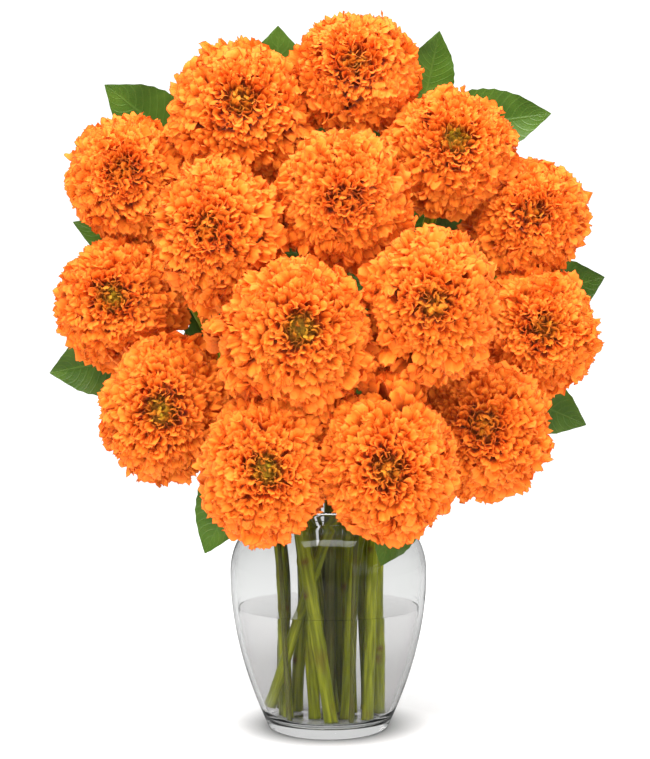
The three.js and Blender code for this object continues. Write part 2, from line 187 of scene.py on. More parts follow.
def placed(name, data):
    """A new object in the scene."""
    made = bpy.data.objects.new(name, data)
    bpy.context.scene.collection.objects.link(made)
    return made


def piece_of(name, sheets, materials, node):
    """A CAD node's visible piece, from sheets of (points in mm, quads, marks, material index)."""
    points = np.concatenate([s[0].reshape(-1, 3) for s in sheets]) * MM
    starts = np.cumsum([0] + [s[0].size // 3 for s in sheets[:-1]])
    quads = np.concatenate([s[1] + start for s, start in zip(sheets, starts)])
    marks = np.concatenate([s[2].reshape(-1, 4) for s in sheets])
    looks = np.concatenate([np.full(len(s[1]), s[3]) for s in sheets])
    mesh = bpy.data.meshes.new(name)
    mesh.vertices.add(len(points))
    mesh.vertices.foreach_set("co", points.astype(np.float32).ravel())
    mesh.loops.add(quads.size)
    mesh.loops.foreach_set("vertex_index", quads.astype(np.int32).ravel())
    mesh.polygons.add(len(quads))
    mesh.polygons.foreach_set("loop_start", np.arange(0, quads.size, 4, dtype=np.int32))
    mesh.polygons.foreach_set("material_index", looks.astype(np.int32))
    layer = mesh.attributes.new("marks", "FLOAT_COLOR", "POINT")
    layer.data.foreach_set("color", marks.astype(np.float32).ravel())
    for material in materials:
        mesh.materials.append(material)
    mesh.update()
    mesh.validate()
    piece = placed(name, mesh)
    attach(piece, "root")
    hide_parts(node)
    return piece


def marks_of(points, along=0.0, across=0.0, seed=0.0, tint=0.0):
    """Four numbers for each point, which the materials read."""
    made = np.zeros((*points.shape[:3], 4))
    for i, value in enumerate((along, across, seed, tint)):
        made[..., i] = value
    return made


def angles_round(count):
    return np.linspace(0, 2 * math.pi, count, endpoint=False)


def unit(v):
    """The same directions with length one."""
    return v / np.maximum(np.linalg.norm(v, axis=-1, keepdims=True), 1e-9)


def smooth(x):
    """A soft step from 0 to 1."""
    x = np.clip(x, 0, 1)
    return x * x * (3 - 2 * x)


def moved(points, to_world):
    """Points in a flower's own axes, carried to their place in the bouquet."""
    return (points.reshape(-1, 3) @ to_world[:3, :3].T + to_world[:3, 3]).reshape(points.shape)


def bezier(corners, count):
    """Points of a cubic curve, from its four control points."""
    t = np.linspace(0, 1, count)[:, None]
    a, b, c, d = (np.array(p, float) for p in corners)
    return a * (1 - t) ** 3 + 3 * b * t * (1 - t) ** 2 + 3 * c * t ** 2 * (1 - t) + d * t ** 3


# Points on each span of a curve before they are spaced evenly
FINE = 60


def curve_through(points, count):
    """A smooth curve through the points, evenly spaced, like the CAD model's centre lines."""
    p = np.array(points, float)
    p = np.concatenate([[2 * p[0] - p[1]], p, [2 * p[-1] - p[-2]]])
    dense = []
    for i in range(1, len(p) - 2):
        t = np.linspace(0, 1, FINE, endpoint=i == len(p) - 3)[:, None]
        a, b = p[i], p[i + 1]
        out, into = 0.5 * (p[i + 1] - p[i - 1]), 0.5 * (p[i + 2] - p[i])
        dense.append(a + out * t + (3 * (b - a) - 2 * out - into) * t ** 2
                     + (2 * (a - b) + out + into) * t ** 3)
    dense = np.concatenate(dense)
    step = np.linalg.norm(np.diff(dense, axis=0), axis=1)
    length = np.concatenate([[0], np.cumsum(step)])
    wanted = np.linspace(0, length[-1], count)
    return np.stack([np.interp(wanted, length, dense[:, k]) for k in range(3)], axis=1)


def point_on(points, share):
    """The point of the curve through the points at a share of its parameter, and its direction."""
    p = [Vector(q) for q in points]
    p = [2 * p[0] - p[1], *p, 2 * p[-1] - p[-2]]
    spans = len(points) - 1
    place = min(share * spans, spans - 1e-6)
    i = int(place) + 1
    t = place - int(place)
    a, b = p[i], p[i + 1]
    out, into = 0.5 * (p[i + 1] - p[i - 1]), 0.5 * (p[i + 2] - p[i])
    second, third = 3 * (b - a) - 2 * out - into, 2 * (a - b) + out + into
    where = a + out * t + second * t * t + third * t ** 3
    ahead = out + 2 * second * t + 3 * third * t * t
    return where, ahead.normalized()


def frames_along(line):
    """Two directions across each point of a line, without twist."""
    ahead = unit(np.gradient(line, axis=0))
    side = unit(np.cross(ahead[0], (0.3, 1, 0.2)))
    sides = []
    for direction in ahead:
        side = unit(side - direction * np.dot(side, direction))
        sides.append(side)
    sides = np.array(sides)
    return sides, np.cross(ahead, sides)


# The share of the radius for a ring that keeps the rim at the start of a tube crisp
CUT_RING = 0.9


def tube(line, radii, seed=0.0, tint=0.0, look=0):
    """A closed tube round a line. radii has a row for each point and a column for each side."""
    rows, columns = radii.shape
    one, two = frames_along(line)
    angle = angles_round(columns)
    ring = one[:, None] * np.cos(angle)[None, :, None] + two[:, None] * np.sin(angle)[None, :, None]
    points = line[:, None] + ring * radii[..., None]
    start = np.repeat(line[:1, None], columns, axis=1)
    end = np.repeat(line[-1:, None], columns, axis=1)
    points = np.concatenate([start, start + (points[:1] - start) * CUT_RING, points, end])[None]
    along = np.concatenate([[0, 0], np.linspace(0, 1, rows), [1]])[None, :, None]
    across = (angle / (2 * math.pi))[None, None, :]
    marks = marks_of(points, along, across, seed, tint)
    return points, quads_of(1, rows + 3, columns, closed=True), marks, look


# Points of a lathe closer than this become one
WELD = 0.01


def lathe(outlines, name, materials, node):
    """A closed body of revolution from outlines of radius and height, each with its own material."""
    angle = angles_round(ROUND)
    sheets = []
    for i, outline in enumerate(outlines):
        outline = np.array(outline, float)
        radius, height = outline[:, :1], outline[:, 1:] + 0 * angle
        points = np.stack([radius * np.cos(angle), radius * np.sin(angle), height], axis=-1)[None]
        along = np.linspace(0, 1, len(outline))[None, :, None]
        marks = marks_of(points, along, (angle / (2 * math.pi))[None, None])
        sheets.append((points, quads_of(1, len(outline), ROUND, closed=True), marks, i))
    piece = piece_of(name, sheets, materials, node)
    weld = piece.modifiers.new("weld", "WELD")
    weld.merge_threshold = WELD * MM


# Materials


def add(tree, kind, inputs=None, **settings):
    """A new shader node: its settings, and its inputs as numbers or as sockets to link."""
    made = tree.nodes.new("ShaderNode" + kind)
    for key, value in settings.items():
        setattr(made, key, value)
    for key, value in (inputs or {}).items():
        if isinstance(value, bpy.types.NodeSocket):
            tree.links.new(value, made.inputs[key])
        else:
            made.inputs[key].default_value = value
    return made


def math_of(tree, operation, a, b=0.0):
    return add(tree, "Math", {0: a, 1: b}, operation=operation).outputs[0]


def times(tree, value, factor):
    return math_of(tree, "MULTIPLY", value, factor)


def mixed(tree, share, a, b):
    return add(tree, "Mix", {0: share, 6: a, 7: b}, data_type="RGBA").outputs[2]


def ramped(tree, value, stops):
    """A colour by a value, from stops of place and colour."""
    made = add(tree, "ValToRGB", {0: value})
    for i, (place, colour) in enumerate(stops):
        stop = made.color_ramp.elements[i] if i < 2 else made.color_ramp.elements.new(place)
        stop.position = place
        stop.color = (*colour, 1)
    return made.outputs[0]


def new_material(name):
    material = bpy.data.materials.new(name)
    material.use_nodes = True
    tree = material.node_tree
    tree.nodes.clear()
    return material, tree


def finish_with(tree, shader):
    out = add(tree, "OutputMaterial")
    tree.links.new(shader.outputs[0], out.inputs["Surface"])


def marks_in(tree):
    """The four numbers of a point: along, across, seed and tint."""
    read = add(tree, "Attribute", attribute_name="marks")
    apart = add(tree, "SeparateColor", {0: read.outputs["Color"]})
    return (*apart.outputs[:3], read.outputs["Alpha"])


def place_in(tree):
    return add(tree, "TexCoord").outputs["Object"]


def noise_in(tree, scale, detail, vector):
    inputs = {"Scale": scale, "Detail": detail, "Vector": vector}
    return add(tree, "TexNoise", inputs).outputs["Fac"]


def streaks_in(tree, across, along, seed, stretch, scale, detail):
    """Noise drawn out along a petal or a stem, with its own pattern for each."""
    parts = [times(tree, mark, factor) for mark, factor in zip((across, along, seed), stretch)]
    way = add(tree, "CombineXYZ", dict(enumerate(parts)))
    return noise_in(tree, scale, detail, way.outputs[0])


def relief(tree, height, strength, distance):
    """A bump, with its distance in millimetres."""
    inputs = {"Height": height, "Strength": strength, "Distance": distance * MM}
    return add(tree, "Bump", inputs).outputs[0]


# Petal colours from claw to tip, where the dark claw end is painted shade between the petals, and those
# mixed into them
PETAL_TONES_AND_CLAW_SHADE = [(0.74, (0.3, 0.02, 0.002)), (0.86, (0.8, 0.125, 0.006)),
               (0.94, (0.96, 0.225, 0.017)), (1.0, (1.0, 0.265, 0.036))]
DEEP_ORANGE = (0.9, 0.18, 0.009, 1)
PALE_ORANGE = (1.0, 0.3, 0.036, 1)
# Painted shadow: the dark red that a petal's edges take, as if shading the petal under them
EDGE_SHADOW_RED = (0.6, 0.06, 0.003, 1)
OLIVE = (0.4, 0.3, 0.015, 1)
# Where the painted edge shadow starts, as a share of the width off the middle line and of the length
PETAL_SIDE = 0.45
PETAL_END = 0.988


def petal_material():
    """Orange petals with claws painted dark as shade, pale blotches, edges painted red as shadow, fine
    streaks and olive round the eye.
    """
    material, tree = new_material("marigold_petal")
    along, across, seed, eye = marks_in(tree)
    place = place_in(tree)
    # Painted shade: each petal darkens towards its claw, where it lies among its neighbours
    tone = ramped(tree, along, PETAL_TONES_AND_CLAW_SHADE)
    tone = mixed(tree, times(tree, seed, 0.45), tone, DEEP_ORANGE)
    blotch = noise_in(tree, 160, 2.0, place)
    tone = mixed(tree, times(tree, blotch, 0.4), tone, PALE_ORANGE)
    off_middle = math_of(tree, "ABSOLUTE", math_of(tree, "SUBTRACT", across, 0.5))
    # Painted shadow along the petal's sides and tip
    edge = math_of(tree, "MAXIMUM", math_of(tree, "GREATER_THAN", off_middle, PETAL_SIDE),
                   math_of(tree, "GREATER_THAN", along, PETAL_END))
    tone = mixed(tree, times(tree, edge, 0.6), tone, EDGE_SHADOW_RED)
    tone = mixed(tree, eye, tone, OLIVE)
    veins = streaks_in(tree, across, along, seed, (9.0, 1.6, 90.0), 3.0, 2.0)
    crinkle = noise_in(tree, 330, 2.0, place)
    bump = relief(tree, math_of(tree, "ADD", times(tree, veins, 0.4), crinkle), 0.6, 1.1)
    shader = add(tree, "BsdfPrincipled", {
        "Base Color": tone, "Roughness": 0.55, "Specular IOR Level": 0.16, "Normal": bump,
        "Sheen Weight": 0.08, "Sheen Roughness": 0.4, "Sheen Tint": (1.0, 0.6, 0.3, 1),
    })
    glow = add(tree, "BsdfTranslucent", {"Color": tone})
    soft = add(tree, "MixShader", {0: 0.2, 1: shader.outputs[0], 2: glow.outputs[0]})
    finish_with(tree, soft)
    return material


def core_material():
    """The inside of a head, painted dark red as the shade between the petals, olive behind an open eye."""
    material, tree = new_material("marigold_core")
    spots = noise_in(tree, 300, 3.0, place_in(tree))
    # Painted shade: the core's dark red stands for the shadow deep between the florets
    tone = ramped(tree, spots, [(0.3, (0.3, 0.035, 0.003)), (0.7, (0.65, 0.11, 0.006))])
    olive = ramped(tree, spots, [(0.4, (0.22, 0.14, 0.01)), (0.6, (0.6, 0.38, 0.025))])
    tone = mixed(tree, marks_in(tree)[3], tone, olive)
    shader = add(tree, "BsdfPrincipled", {"Base Color": tone, "Roughness": 0.8})
    finish_with(tree, shader)
    return material


def stem_material(name, dark, middle, light, scar, roughness=0.4):
    """A ribbed stem: streaks along it, worn patches and brown scars."""
    material, tree = new_material(name)
    along, across, seed, scarred = marks_in(tree)
    lines = streaks_in(tree, across, along, seed, (9.0, 5.0, 40.0), 1.6, 3.0)
    tone = ramped(tree, lines, [(0.2, dark), (0.5, middle), (0.8, light)])
    patches = noise_in(tree, 38, 3.0, place_in(tree))
    worn = ramped(tree, patches, [(0.55, (0, 0, 0)), (0.75, (1, 1, 1))])
    tone = mixed(tree, times(tree, worn, 0.5), tone, (*scar, 1))
    tone = mixed(tree, scarred, tone, (*scar, 1))
    shader = add(tree, "BsdfPrincipled", {
        "Base Color": tone, "Roughness": roughness, "Specular IOR Level": 0.15,
        "Normal": relief(tree, lines, 0.25, 0.8),
    })
    finish_with(tree, shader)
    return material


# A leaf's side veins: their number and how far they slant towards the tip, as a share of its length
SIDE_VEINS = 8
VEIN_SLANT = 0.16


def leaf_material():
    """A lemon leaf: glossy green, with a pale midrib, curved side veins and a fine net."""
    material, tree = new_material("lemon_leaf")
    along, across, seed, stalk = marks_in(tree)
    out = math_of(tree, "ABSOLUTE", math_of(tree, "SUBTRACT", times(tree, across, 2.0), 1.0))
    slant = times(tree, math_of(tree, "POWER", out, 1.3), VEIN_SLANT)
    turns = times(tree, math_of(tree, "SUBTRACT", along, slant), 2 * math.pi * SIDE_VEINS)
    ridge = math_of(tree, "POWER", math_of(tree, "ABSOLUTE", math_of(tree, "COSINE", turns)), 24.0)
    rib = math_of(tree, "SUBTRACT", 1.0, math_of(tree, "MINIMUM", times(tree, out, 16.0), 1.0))
    veins = math_of(tree, "MAXIMUM", times(tree, ridge, 0.55), rib)
    place = place_in(tree)
    cloud = noise_in(tree, 45, 4.0, place)
    tone = ramped(tree, cloud, [(0.3, (0.03, 0.075, 0.004)), (0.55, (0.052, 0.11, 0.007)),
                                (0.75, (0.085, 0.15, 0.012))])
    tone = mixed(tree, times(tree, seed, 0.35), tone, (0.08, 0.15, 0.012, 1))
    tone = mixed(tree, times(tree, veins, 0.22), tone, (0.17, 0.27, 0.045, 1))
    tone = mixed(tree, stalk, tone, (0.2, 0.3, 0.07, 1))
    net = add(tree, "TexVoronoi", {"Vector": place, "Scale": 700.0}).outputs["Distance"]
    bump = relief(tree, math_of(tree, "SUBTRACT", times(tree, net, 0.35), veins), 0.45, 0.6)
    shader = add(tree, "BsdfPrincipled", {
        "Base Color": tone, "Roughness": 0.42, "Specular IOR Level": 0.35, "Normal": bump,
    })
    finish_with(tree, shader)
    return material


def glass_material():
    """Clear glass with faint waves, which lets the light of the lamps through."""
    material, tree = new_material("clear_glass")
    ripples = noise_in(tree, 25, 2.0, place_in(tree))
    shader = add(tree, "BsdfPrincipled", {
        "Base Color": (0.9, 0.905, 0.9, 1), "Roughness": 0.0, "IOR": 1.45, "Transmission Weight": 1.0,
        "Specular Tint": (0.3, 0.3, 0.3, 1), "Normal": relief(tree, ripples, 0.25, 0.8),
    })
    through_lamps(tree, shader, (0.92, 0.925, 0.92, 1))
    return material


def water_material(name, coat):
    """Water, with almost no bend, as the stems in the photo run on straight below its level."""
    material, tree = new_material(name)
    haze = noise_in(tree, 18, 3.0, place_in(tree))
    tone = ramped(tree, haze, [(0.35, (0.91, 0.89, 0.895)), (0.65, (0.95, 0.935, 0.94))])
    shader = add(tree, "BsdfPrincipled", {
        "Base Color": tone, "Roughness": 0.0, "IOR": 1.02, "Transmission Weight": 1.0,
        "Coat Weight": coat, "Coat Roughness": 0.0, "Coat IOR": 1.33,
    })
    through_lamps(tree, shader, (0.96, 0.97, 0.965, 1))
    return material


def through_lamps(tree, shader, shadow):
    """Ends a clear material with a tinted, unbent way through for the lamps' light."""
    through = add(tree, "BsdfTransparent", {"Color": shadow})
    rays = add(tree, "LightPath")
    either = add(tree, "MixShader", {
        0: rays.outputs["Is Shadow Ray"], 1: shader.outputs[0], 2: through.outputs[0]})
    finish_with(tree, either)


# The floor: how near a thing its painted contact shadow reaches, that shadow's tone right under one, and
# its painted darker tones in gloss and through the glass
CONTACT = 35
CONTACT_SHADOW_TONE = (0.2, 0.2, 0.2, 1)
GLOSS_TONE = (0.15, 0.15, 0.15, 1)
GLASS_TONE = (0.58, 0.58, 0.58, 1)


def floor_material():
    """A pale floor, with a painted contact shadow near what stands on it. Its painted darker tone for light
    that comes through the glass lets a clear vase show, and it is painted darker in gloss too.
    """
    material, tree = new_material("pale_floor")
    grain = noise_in(tree, 60, 4.0, place_in(tree))
    tone = ramped(tree, grain, [(0.3, (0.95, 0.95, 0.95)), (0.7, (0.97, 0.97, 0.97))])
    rays = add(tree, "LightPath").outputs
    # Painted contact shadow: the floor darkens where something stands close by
    free = add(tree, "AmbientOcclusion", {"Distance": CONTACT * MM}, samples=8).outputs["AO"]
    tone = mixed(tree, ramped(tree, free, [(0.3, (0, 0, 0)), (0.95, (1, 1, 1))]), CONTACT_SHADOW_TONE, tone)
    # Painted shade: the floor is darker as seen in gloss and through the glass
    tone = mixed(tree, rays["Is Glossy Ray"], tone, GLOSS_TONE)
    tone = mixed(tree, rays["Is Transmission Ray"], tone, GLASS_TONE)
    shader = add(tree, "BsdfPrincipled", {
        "Base Color": tone, "Roughness": 0.75, "Specular IOR Level": 0.1})
    finish_with(tree, shader)
    return material


PETAL = petal_material()
CORE = core_material()
STEM = stem_material("marigold_stem", (0.06, 0.07, 0.001), (0.2, 0.225, 0.005), (0.44, 0.46, 0.025),
                     (0.13, 0.055, 0.01))
TWIG = stem_material("woody_twig", (0.05, 0.05, 0.008), (0.1, 0.1, 0.018), (0.17, 0.2, 0.035),
                     (0.1, 0.05, 0.015), 0.55)
CALYX = stem_material("green_cup", (0.055, 0.1, 0.008), (0.12, 0.19, 0.018), (0.22, 0.3, 0.04),
                      (0.12, 0.12, 0.02))
LEAF = leaf_material()
GLASS = glass_material()
WATER = water_material("clear_water", 0.0)
WATER_TOP = water_material("water_surface", 0.6)

# The vase and its water


def outer_wall():
    """The vase's outline above the foot, from outside."""
    return np.concatenate([bezier(BELLY, 26), bezier(SHOULDER, 16)[1:], bezier(COLLAR, 12)[1:]])


def inner_wall(thickness):
    """The outer wall moved inwards by a thickness."""
    wall = outer_wall()
    along = unit(np.gradient(wall, axis=0))
    return wall + np.stack([-along[:, 1], along[:, 0]], axis=1) * thickness


def build_vase():
    """The vase, as one outline: foot, wall, rounded lip, inside and inner floor."""
    outside, inside = outer_wall(), inner_wall(WALL)
    middle = (outside[-1] + inside[-1]) / 2
    arm = outside[-1] - middle
    ahead = np.array([-arm[1], arm[0]])
    lip = [middle + arm * math.cos(a) + ahead * math.sin(a) for a in np.linspace(0, math.pi, 9)[1:-1]]
    inside = inside[inside[:, 1] > FLOOR_Z + WALL_FROM][::-1]
    lathe([[*HEEL, *outside, *lip, *inside, *BOWL]], "glass_vase", [GLASS], "vase")


def build_water():
    """The water, its surface a sheet of its own that curves up at the glass."""
    wall = inner_wall(WALL + GAP)
    wall = wall[(wall[:, 1] > FLOOR_Z + WATER_FROM) & (wall[:, 1] < WATER_Z - WATER_TO)]
    rim = wall[-1][0]
    meniscus = [(rim + 0.1, WATER_Z + 0.7), (rim - 1.2, WATER_Z + 0.15), (rim - 3, WATER_Z)]
    sides = [*WATER_FOOT, *wall, meniscus[0]]
    surface = [*meniscus, (40, WATER_Z), (0, WATER_Z)]
    lathe([sides, surface], "vase_water", [WATER, WATER_TOP], "water")


# A flower head: several hundred ruffled florets round a core

GOLDEN = math.pi * (3 - math.sqrt(5))
LAST_FLORET = 122
# Distance between florets on the dome of a usual head, by the angle off its axis, and the share of
# its square that a floret takes when they pack closely
SPACING = ((0, 8, 20, 34, 60, 90, LAST_FLORET), (2.4, 2.9, 3.8, 5.0, 6.3, 6.9, 7.8))
USUAL_R = 42
PACKED = 0.87
SMALL_FLORET = 24
# Small florets round the eye, broad ones in front and broad ones behind: angles, rows and columns
FLORET_KINDS = [(-10, SMALL_FLORET, 6, 7), (SMALL_FLORET, 86, 7, 11), (86, 180, 5, 8)]
# A floret by the angle off the axis: its limb and width, the depth of its ruffles, and the radians
# that it leans outwards
ANGLES = (2, 10, 24, 50, 90, LAST_FLORET)
LIMB = (3.4, 4.4, 6.2, 9.8, 11.8, 12.0)
WIDTH = (3.4, 4.8, 7.2, 11.6, 13.8, 14.0)
RUFFLE = (0.3, 0.6, 1.0, 1.4, 1.5, 1.4)
LEAN = ((2, 7, 13, 24, 50, 90, LAST_FLORET), (-1.1, -0.6, 0.3, 0.85, 1.1, 0.95, 0.65))
# The share of the claw that is left out, by the same angle, as it is hidden in the head
HIDDEN = ((0, 60, 95, LAST_FLORET), (0.6, 0.6, 0.3, 0.0))
# How deep the claws start and on what radius, and the share of the head's half width that tips reach
ROOT_DEPTH = 21
ROOT_RING = 8.5
REACH = 0.915
# How unevenly tips reach: in lumps, by floret, the share that stands out and how far, and how far
# they sink at an open eye and the degrees over which that fades
UNEVEN = 0.09
JITTER = 0.045
PROUD = (0.03, 0.06)
EYE_DIP = (0.07, 11)
# How round the dome is: 1 would be an ellipsoid
BUN_POWER = 0.85
# The most that petals grow into a pocket, and the distances from the next head and the one after it
# where that has faded out, each with the length over which it fades
FILL_MOST = 14
FADE_NEXT = (28, 10)
FADE_SECOND = (36, 14)
# The squared share of a head's half size within which petals of the heads behind it are kept short
TOUCH = 0.82
# Heads whose middles are closer than this may touch
NEIGHBOUR = 110
# The core behind the petals: its share of the head's size, how far it lies back, the swelling
# behind the eye and the degrees over which that fades, and its rows and columns
CORE_SHARE = 0.62
CORE_BACK = 2
EYE_SWELL = 0.16
EYE_FADE = 21
CORE_GRID = (16, 32)


def facing(flower):
    """The way that a flower faces."""
    t, u = math.radians(flower["turn"]), math.radians(flower["tilt"])
    return Vector((math.sin(t) * math.cos(u), -math.cos(t) * math.cos(u), math.sin(u)))


def floret_places():
    """Angles off the axis and round it, spread as seeds are, closer in the middle."""
    angles = np.linspace(2, LAST_FLORET, 400)
    apart = np.interp(angles, *SPACING)
    ring = 2 * math.pi * USUAL_R ** 2 * np.sin(np.radians(angles)) * np.radians(angles[1] - angles[0])
    number = np.cumsum(ring / (PACKED * apart ** 2))
    order = np.arange(int(number[-1]))
    return np.interp(order + 0.5, number, angles), order * GOLDEN


def bun(theta, phi, size):
    """A point of a head's outline in its own axes, for angles off the axis and round it."""
    front = HEAD_DEPTH * (1 - HEAD_BACK)
    back = HEAD_DEPTH * HEAD_BACK
    deep = np.where(theta < math.pi / 2, front, back)
    wide = np.sin(theta) ** BUN_POWER
    return np.stack([size[0] / 2 * wide * np.cos(phi), size[1] / 2 * wide * np.sin(phi),
                     deep * np.cos(theta)], axis=-1)


def seen(points):
    """Places across and up as they look from the front."""
    nearness = 1 - points[:, 1] / CAMERA[1]
    across, up = points[:, 0] - CAMERA[0], points[:, 2] - CAMERA[2]
    return np.stack([across / nearness, up / nearness], axis=1)


def pocket(points, flower):
    """How far each point is from the next head, in a pocket between three heads seen from the front."""
    here = seen(points)
    rooms = []
    for other in MARIGOLDS:
        if other is flower:
            continue
        centre = seen(np.array([other["at"]], float))[0]
        half = np.array(other["size"]) / 2 / (1 - other["at"][1] / CAMERA[1])
        apart = here - centre
        share = np.linalg.norm(apart / half, axis=1)
        rooms.append(np.linalg.norm(apart, axis=1) * (1 - 1 / np.maximum(share, 0.01)))
    nearest, second = np.sort(np.maximum(rooms, 0), axis=0)[:2]
    room = np.minimum(nearest, FILL_MOST) * smooth((FADE_NEXT[0] - nearest) / FADE_NEXT[1])
    return room * smooth((FADE_SECOND[0] - second) / FADE_SECOND[1])


def inside_head(points, flower):
    """Whether each point is inside another flower's head."""
    turned = UP.rotation_difference(facing(flower)).to_matrix()
    local = (points - np.array(flower["at"])) @ np.array(turned)
    half = np.array([flower["size"][0] / 2, flower["size"][1] / 2, HEAD_DEPTH / 2])
    local[:, 2] -= HEAD_DEPTH * (0.5 - HEAD_BACK)
    return (local / half) ** 2 @ np.ones(3) < TOUCH


def spread(rng, degrees, stops, values, least=0.8, most=1.25):
    """A value by the angle off the axis, varied from floret to floret."""
    return np.interp(degrees, stops, values) * rng.uniform(least, most, len(degrees))


def wandering(theta, phi, scale, seed):
    """Slow noise over a ball, the same for florets that are neighbours."""
    x, y, z = np.sin(theta) * np.cos(phi), np.sin(theta) * np.sin(phi), np.cos(theta)
    return np.array([noise.noise(Vector(p) * scale + Vector((seed, 0, 0))) for p in zip(x, y, z)])


def quartic(corners, t):
    """Points of curves with five control points each, at the shares t."""
    weights = [(1 - t) ** 4, 4 * t * (1 - t) ** 3, 6 * t ** 2 * (1 - t) ** 2, 4 * t ** 3 * (1 - t), t ** 4]
    return sum(w * c[:, None] for w, c in zip(weights, corners))


def kept_short(world, roots, fronts):
    """Florets, each shortened until its tip is outside the heads in front of its own."""
    tips = world[:, -2, world.shape[2] // 2]
    share = np.ones(len(world))
    for front in fronts:
        for _ in range(5):
            now = roots + (tips - roots) * share[:, None]
            share = np.where(inside_head(now, front), share * 0.92, share)
    return roots[:, None, None] + (world - roots[:, None, None]) * share[:, None, None, None]


def floret_ends(theta, phi, flower, rng, to_world):
    """Where florets end on the uneven dome, or in a pocket between heads, nearer to the next head."""
    size = np.array(flower["size"], float)
    count = len(theta)
    reach = REACH * (1 + UNEVEN * wandering(theta, phi, 2.0, size[0]) + rng.uniform(-JITTER, JITTER, count))
    reach += np.where(rng.uniform(0, 1, count) < PROUD[0], PROUD[1], 0)
    reach -= EYE_DIP[0] * flower["eye"] * np.exp(-(np.degrees(theta) / EYE_DIP[1]) ** 2)
    place = bun(theta, phi, size) * reach[:, None]
    fill = pocket(moved(place, to_world), flower) * np.sin(theta) ** 3
    over, under = flower["fill"]
    fill *= np.where(place[:, 1] > 0, over, under)
    place[:, :2] *= 1 + fill[:, None] / (size / 2)
    return place


def ways_at(place, theta, phi, size, sway):
    """Directions at places on the dome: out of it, and along it away from the axis, turned by sway."""
    down = unit(bun(theta + 0.01, phi, size) - bun(theta - 0.01, phi, size))
    out = unit(place / np.array([size[0] ** 2, size[1] ** 2, 4 * HEAD_DEPTH ** 2 / 2.6]))
    out = unit(out - down * np.sum(out * down, axis=1)[:, None])
    return out, down * np.cos(sway) + np.cross(out, down) * np.sin(sway)


def blades(middle, side, s, columns, each, rng):
    """Blades along middle lines: each widens, cups, ruffles and ends in a ragged rounded edge."""
    limb, width, ruffle, waves, cup = (value[:, None, None] for value in each)
    t = s[None, :, None]
    u = np.linspace(-1, 1, columns)[None, None, :]
    along = unit(np.gradient(middle, axis=1))
    across = unit(side[:, None] - along * np.sum(side[:, None] * along, axis=2)[..., None])
    normal = np.cross(along, across)
    half = width / 2 * (0.16 + 0.84 * smooth((t - 0.15) / 0.6))
    phase = rng.uniform(0, 2 * math.pi, (5, len(middle)))[:, :, None, None]
    tall = ruffle * smooth((t - 0.4) / 0.6)
    wave = waves * math.pi
    lift = cup * half * u ** 2
    lift = lift + tall * (np.sin(wave * u + phase[0] + 1.5 * t) + 0.42 * np.sin(2.3 * wave * u + phase[1]))
    lift = lift + 0.5 * tall * np.sin(9 * t + phase[4] + 2 * u)
    shift = 0.45 * tall * np.cos(wave * u + phase[0])
    ragged = 0.48 * np.abs(u) ** 3.5 + 0.1 * np.sin(3.4 * math.pi * u + phase[2]) + 0.07 * np.sin(
        7.1 * math.pi * u + phase[3])
    pulled = -limb * ragged * smooth((t - 0.35) / 0.65) * 0.75
    return (middle[:, :, None] + across[:, :, None] * (half * u + shift)[..., None]
            + normal[:, :, None] * lift[..., None] + along[:, :, None] * pulled[..., None])


def florets(theta, phi, flower, rng, rows, columns, to_world, fronts):
    """The sheets of one kind of floret, as points in the bouquet's frame."""
    count = len(theta)
    eye = flower["eye"]
    size = np.array(flower["size"], float)
    degrees = np.degrees(theta)
    small = degrees.max() < SMALL_FLORET
    place = floret_ends(theta, phi, flower, rng, to_world)
    sway = rng.normal(0, 1.2 if small else 0.65, count) + 1.9 * wandering(theta, phi, 3.4, size[0] + 40)
    out, fall = ways_at(place, theta, phi, size, sway[:, None])

    # Each floret's own size, lean, curl and ruffles. Those over a weak eye are larger and cover it.
    limb = spread(rng, degrees, ANGLES, LIMB)
    width = spread(rng, degrees, ANGLES, WIDTH)
    plump = 1 + (1 - eye) * np.exp(-(degrees / 15) ** 2)
    limb, width = limb * plump, width * plump
    lean = np.interp(degrees, *LEAN) + rng.normal(0, 0.28, count) + wandering(theta, phi, 4.6, size[0] + 80)
    curl = rng.normal(0.5, 0.5, count)
    ruffle = spread(rng, degrees, ANGLES, RUFFLE, 0.5, 1.5)
    waves = rng.uniform(1.1, 2.4, count)
    cup = rng.uniform(0.2, 0.9, count) if small else rng.normal(0.0, 0.22, count)

    def leaning(angle):
        return out * np.cos(angle)[:, None] + fall * np.sin(angle)[:, None]

    # The middle line: from the receptacle up the claw, over the knee and out along the limb
    first, last = leaning(lean), leaning(lean + curl)
    knee = place - (first * 0.5 + last * 0.1) * limb[:, None]
    root_ring = np.sin(np.minimum(theta, math.pi / 2)) * ROOT_RING
    root = np.stack([root_ring * np.cos(phi), root_ring * np.sin(phi), -ROOT_DEPTH - 0 * phi], axis=-1)
    root[:, 2] -= 2 * np.clip(degrees - 80, 0, 40) / 40
    begin = np.interp(degrees, *HIDDEN)[:, None]
    start = root + (knee - root) * begin
    rise = root + (knee - root) * (0.35 + 0.65 * begin)
    half_way = knee + first * 0.5 * limb[:, None]
    tip = half_way + last * 0.55 * limb[:, None]
    s = 1 - (1 - np.linspace(0, 1, rows)) ** 1.15
    middle = quartic([start, rise, knee, half_way, tip], s[None, :, None])
    points = blades(middle, np.cross(out, fall), s, columns, (limb, width, ruffle, waves, cup), rng)
    world = kept_short(moved(points, to_world), moved(root, to_world), fronts)

    # What the material reads: along the floret, across it, a seed, and green near an open eye
    seed = rng.uniform(0, 1, count)[:, None, None]
    green = eye * np.clip(1.5 - degrees / 10, 0, 1) * rng.uniform(0.3, 1.0, count)
    deep = begin[..., None] + (1 - begin[..., None]) * s[None, :, None]
    across = np.linspace(0, 1, columns)[None, None]
    marks = marks_of(world, deep, across, seed, np.clip(green, 0, 1)[:, None, None])
    return world, quads_of(count, rows, columns), marks, 0


